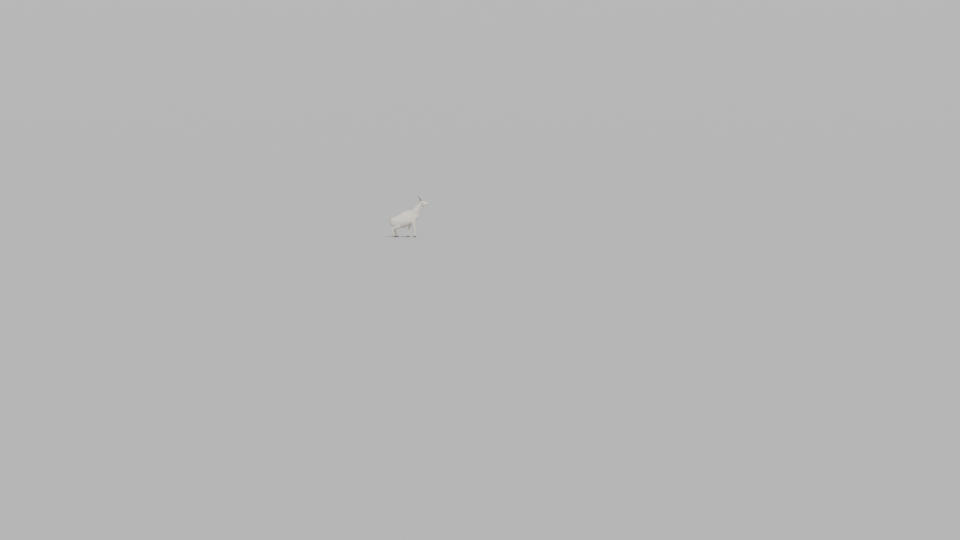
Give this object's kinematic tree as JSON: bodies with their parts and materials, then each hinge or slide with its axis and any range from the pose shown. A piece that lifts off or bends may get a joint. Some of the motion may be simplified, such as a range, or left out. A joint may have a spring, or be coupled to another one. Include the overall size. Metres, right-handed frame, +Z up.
{
  "type": "mountain goat",
  "caption": "Life-size still model of a white mountain goat in its short summer coat, standing with lowered hindquarters, neck raised and head level.",
  "frame": {"origin": "on the floor, under the middle of the goat's bounding box", "axes": "+Z up, -Y the way the goat faces, +X the goat's own left side"},
  "size_m": [0.3574, 1.3438, 1.4038],
  "materials": {
    "coat": "short creamy-white summer fur",
    "horn": "black horn, satin, ringed near the base",
    "hoof": "dark grey-black hoof horn, dull",
    "eye": "polished dark amber-brown eye"
  },
  "bodies": {
    "root": {"trunk": "coat", "neck": "coat", "head": "coat", "beard": "coat", "tail": "coat", "ear_left": "coat", "ear_right": "coat", "foreleg_left": "coat", "foreleg_right": "coat", "hindleg_left": "coat", "hindleg_right": "coat", "horn_left": "horn", "horn_right": "horn", "eye_left": "eye", "eye_right": "eye", "hoof_fore_left_inner": "hoof", "hoof_fore_left_outer": "hoof", "hoof_fore_right_inner": "hoof", "hoof_fore_right_outer": "hoof", "hoof_hind_left_inner": "hoof", "hoof_hind_left_outer": "hoof", "hoof_hind_right_inner": "hoof", "hoof_hind_right_outer": "hoof", "dewclaw_fore_left_inner": "hoof", "dewclaw_fore_left_outer": "hoof", "dewclaw_fore_right_inner": "hoof", "dewclaw_fore_right_outer": "hoof", "dewclaw_hind_left_inner": "hoof", "dewclaw_hind_left_outer": "hoof", "dewclaw_hind_right_inner": "hoof", "dewclaw_hind_right_outer": "hoof"}
  },
  "joints": []
}
